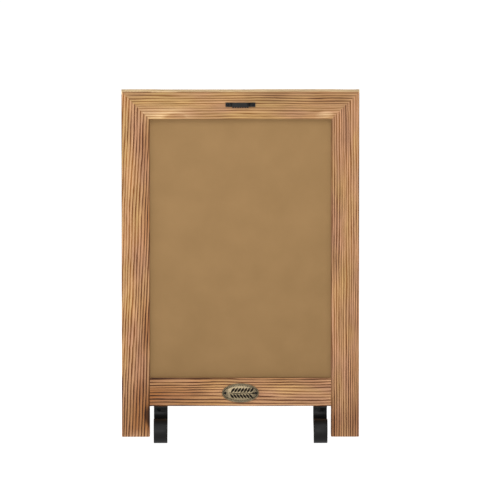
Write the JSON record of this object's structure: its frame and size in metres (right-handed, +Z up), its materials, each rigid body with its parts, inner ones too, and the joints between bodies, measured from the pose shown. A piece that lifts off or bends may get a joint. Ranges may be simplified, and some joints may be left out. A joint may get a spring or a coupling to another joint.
{
  "type": "table-top sign board",
  "caption": "Upright wooden table sign: mitred frame, plain inset panel, stiles run on as legs, swivelling strap-iron feet with scrolls, sawtooth hanger and oval badge.",
  "frame": {"origin": "on the standing surface, in the middle of the whole footprint (frame, feet and turn buttons)", "axes": "+X to the right for a person who faces the front, +Y from front to back, +Z up along the frame's height"},
  "size_m": [0.241, 0.0723, 0.354],
  "materials": {
    "pine": "torched and brushed, matte, clear sealed",
    "dowel_wood": "plain turned wood",
    "panel": "hardboard with matte brown paint",
    "fibre_board": "plain brown fibreboard",
    "black_steel": "satin black coating",
    "zinc_steel": "zinc plated",
    "bronze": "antique bronze, darkened in the low places"
  },
  "bodies": {
    "board": {"left_stile": "pine", "right_stile": "pine", "top_rail": "pine", "bottom_rail": "pine", "rail_dowels": "dowel_wood", "mitre_nails": "zinc_steel", "face_panel": "panel", "filler_board": "fibre_board", "backing_board": "fibre_board", "hanger": "black_steel", "hanger_nails": "black_steel", "badge": "bronze", "badge_pins": "black_steel", "foot_screws": "black_steel", "foot_washers": "black_steel", "turn_button_screws": "zinc_steel"},
    "left_foot": {"left_foot": "black_steel"},
    "right_foot": {"right_foot": "black_steel"},
    "turn_button_left_low": {"turn_button_left_low": "zinc_steel"},
    "turn_button_left_high": {"turn_button_left_high": "zinc_steel"},
    "turn_button_right_low": {"turn_button_right_low": "zinc_steel"},
    "turn_button_right_high": {"turn_button_right_high": "zinc_steel"},
    "turn_button_top": {"turn_button_top": "zinc_steel"},
    "turn_button_bottom": {"turn_button_bottom": "zinc_steel"}
  },
  "joints": [
    {"name": "left_foot_swivel", "type": "hinge", "parent": "board", "child": "left_foot", "pos_m": [-0.081, 0.02565, 0.03], "axis": [0, 0, 1], "range_deg": [0, 180]},
    {"name": "right_foot_swivel", "type": "hinge", "parent": "board", "child": "right_foot", "pos_m": [0.081, 0.02565, 0.03], "axis": [0, 0, 1], "range_deg": [-180, 0]},
    {"name": "turn_button_left_low_turn", "type": "hinge", "parent": "board", "child": "turn_button_left_low", "pos_m": [-0.1045, 0.03385, 0.1294], "axis": [0, 1, 0], "range_deg": [-90, 90]},
    {"name": "turn_button_left_high_turn", "type": "hinge", "parent": "board", "child": "turn_button_left_high", "pos_m": [-0.1045, 0.03385, 0.2566], "axis": [0, 1, 0], "range_deg": [-90, 90]},
    {"name": "turn_button_right_low_turn", "type": "hinge", "parent": "board", "child": "turn_button_right_low", "pos_m": [0.1045, 0.03385, 0.1294], "axis": [0, 1, 0], "range_deg": [-90, 90]},
    {"name": "turn_button_right_high_turn", "type": "hinge", "parent": "board", "child": "turn_button_right_high", "pos_m": [0.1045, 0.03385, 0.2566], "axis": [0, 1, 0], "range_deg": [-90, 90]},
    {"name": "turn_button_top_turn", "type": "hinge", "parent": "board", "child": "turn_button_top", "pos_m": [0, 0.03385, 0.338], "axis": [0, 1, 0], "range_deg": [-90, 90]},
    {"name": "turn_button_bottom_turn", "type": "hinge", "parent": "board", "child": "turn_button_bottom", "pos_m": [0, 0.03385, 0.048], "axis": [0, 1, 0], "range_deg": [-90, 90]}
  ]
}
